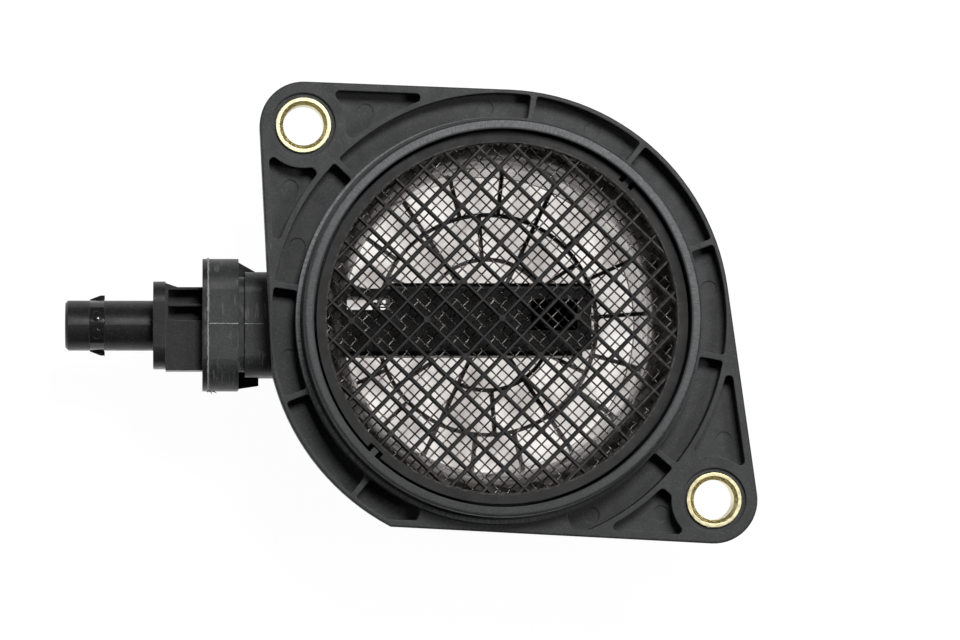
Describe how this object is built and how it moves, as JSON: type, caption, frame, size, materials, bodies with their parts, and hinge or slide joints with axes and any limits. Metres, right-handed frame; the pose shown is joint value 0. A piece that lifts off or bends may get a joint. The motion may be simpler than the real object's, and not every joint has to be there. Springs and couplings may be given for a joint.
{
  "type": "mass airflow sensor",
  "caption": "Plug-in hot-film air meter in a black duct section with a ribbed eared flange, steel bushings, a diamond inlet grille over a wire screen, and a side connector.",
  "frame": {"origin": "centre of the outlet spigot's end face, on the duct's axis", "axes": "+Z along the duct's axis towards the inlet; -X towards the connector; +Y completes the frame"},
  "size_m": [0.1336, 0.0888, 0.072],
  "materials": {
    "housing_plastic": "fine spark-eroded, satin black",
    "bushing_steel": "yellow-passivated zinc on turned steel",
    "grid_plastic": "moulded black",
    "screen_wire": "blackened woven wire",
    "sensor_plastic": "moulded black, slightly glossier than the housing",
    "seal_rubber": "moulded rubber",
    "latch_plastic": "glossy black",
    "carrier_aluminium": "stamped",
    "board_ceramic": "fired alumina",
    "chip_package": "moulded epoxy",
    "silicon": "polished silicon",
    "gel": "clear soft silicone",
    "thermistor_glass": "glazed bead on tinned leads",
    "pin_tin": "tinned bronze"
  },
  "bodies": {
    "root": {"housing": "housing_plastic", "bushing_left": "bushing_steel", "bushing_right": "bushing_steel", "inlet_grid": "grid_plastic", "outlet_grid": "grid_plastic", "inlet_screen": "screen_wire", "sensor_body": "sensor_plastic", "circuit_cover": "sensor_plastic", "bypass_cover": "sensor_plastic", "port_seal": "seal_rubber", "connector_latch": "latch_plastic", "carrier_plate": "carrier_aluminium", "circuit_board": "board_ceramic", "signal_processor": "chip_package", "sensor_chip": "silicon", "potting_gel": "gel", "thermistor": "thermistor_glass", "connector_pin_1": "pin_tin", "connector_pin_2": "pin_tin", "connector_pin_3": "pin_tin", "connector_pin_4": "pin_tin", "connector_pin_5": "pin_tin"}
  },
  "joints": []
}
